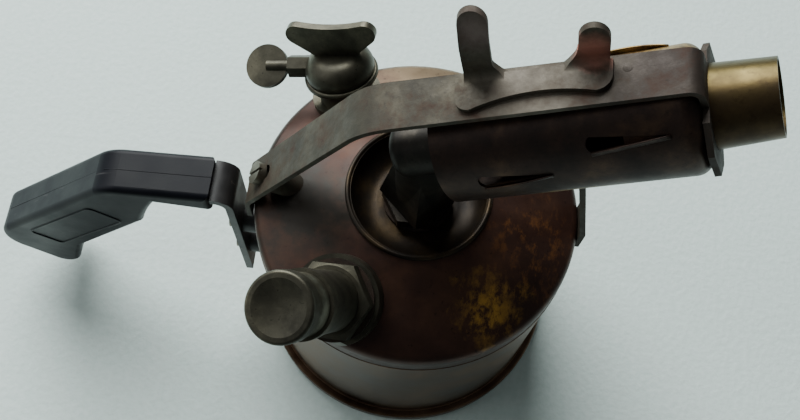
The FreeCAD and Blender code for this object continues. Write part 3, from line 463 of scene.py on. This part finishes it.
spot_weld("weld_rear", 0.0078, -0.0012, rest_sheet)
spot_weld("weld_front", 0.0422, 0.0026, 0)

# Bare raised frame on each side of the grip, and the moulding's parting line along its top
slope = math.radians(44.5)
down_slope = Vector((-math.cos(slope), 0, -math.sin(slope)))
across_slope = Vector((math.sin(slope), 0, -math.cos(slope)))
frame_middle = Vector((-0.1197, 0, 0.0487))


def rounded_frame(half_length, half_width, corner, steps=6):
    """Offsets around a rectangle with round corners."""
    places = []
    for k, (u, v) in enumerate(((1, 1), (-1, 1), (-1, -1), (1, -1))):
        for j in range(steps + 1):
            angle = math.pi / 2 * (k + j / steps)
            x = u * (half_length - corner) + corner * math.cos(angle)
            places.append((x, v * (half_width - corner) + corner * math.sin(angle)))
    return places


grip_half_width = 0.008
for side_name, y in (("near", -grip_half_width), ("far", grip_half_width)):
    outline = []
    for u, v in rounded_frame(0.021, 0.0066, 0.002):
        outline.append(frame_middle + down_slope * u + across_slope * v + Vector((0, y, 0)))
    bead("grip_frame_" + side_name, outline, 0.0004, True, moulding)

grip_top = [
    (-0.0665, 0, 0.0862), (-0.0972, 0, 0.08475), (-0.1012, 0, 0.0837),
    (-0.1047, 0, 0.0812), (-0.1486, 0, 0.0382),
]
bead("grip_parting", grip_top, 0.00014, False, moulding)


# Camera at the photograph's angle, for an image of 800 by 420

pitch = math.radians(67.2)
roll = math.radians(6.0)
right = Vector((1, 0, 0))
ahead = Vector((0, math.cos(pitch), -math.sin(pitch)))
above = Vector((0, math.sin(pitch), math.cos(pitch)))
lens = bpy.data.cameras.new("camera")
lens.sensor_fit = "HORIZONTAL"
lens.sensor_width = 36
image_width = 800
focal_pixels = 880
lens.lens = lens.sensor_width * focal_pixels / image_width
camera = bpy.data.objects.new("camera", lens)
bpy.context.scene.collection.objects.link(camera)
side = right * math.cos(roll) + above * math.sin(roll)
top = above * math.cos(roll) - right * math.sin(roll)
turn = Matrix((side, top, -ahead)).transposed()
camera.matrix_world = Matrix.Translation((-0.0053, -0.1128, 0.344)) @ turn.to_4x4()
bpy.context.scene.camera = camera


# Floor and light

def floor_paper():
    """Plain pale paper with a faint grain."""
    made, tree, shader, place = surface("floor_paper", 0.0, 0.2)
    grain = noise(tree, place, 420, 2, 0.5)
    colour = ramp(tree, grain, (0.3, srgb(222, 240, 235)), (0.7, srgb(231, 247, 243)))
    roughness = span(tree, grain, 0.3, 0.7, 0.8, 0.9)
    finish_surface(tree, shader, colour, roughness, grain, 0.3, 0.0008)
    return made


sheet = bpy.data.meshes.new("floor")
half = 1.6
corners = [(-half, -half, 0), (half, -half, 0), (half, half, 0), (-half, half, 0)]
sheet.from_pydata(corners, [], [(0, 1, 2, 3)])
floor = bpy.data.objects.new("floor", sheet)
floor.data.materials.append(floor_paper())
bpy.context.scene.collection.objects.link(floor)


def soft_light(name, place, aim, size, power, tint):
    """A round area light turned towards a point."""
    made = bpy.data.lights.new(name, "AREA")
    made.shape = "DISK"
    made.size = size
    made.energy = power
    made.color = tint
    lamp = bpy.data.objects.new(name, made)
    lamp.location = place
    lamp.rotation_euler = (Vector(aim) - Vector(place)).to_track_quat("-Z", "Y").to_euler()
    bpy.context.scene.collection.objects.link(lamp)


soft_light("window", (-0.42, 0.85, 0.85), (-0.05, 0, 0.02), 1.1, 31, (0.96, 1.0, 0.99))
soft_light("fill", (-1.0, 0.0, 0.7), (-0.2, 0, 0.05), 0.9, 3, (0.96, 1.0, 1.0))
world = bpy.data.worlds.new("room")
world.use_nodes = True
backdrop = world.node_tree.nodes["Background"]
backdrop.inputs["Color"].default_value = (0.6, 0.66, 0.66, 1)
backdrop.inputs["Strength"].default_value = 0.17
bpy.context.scene.world = world
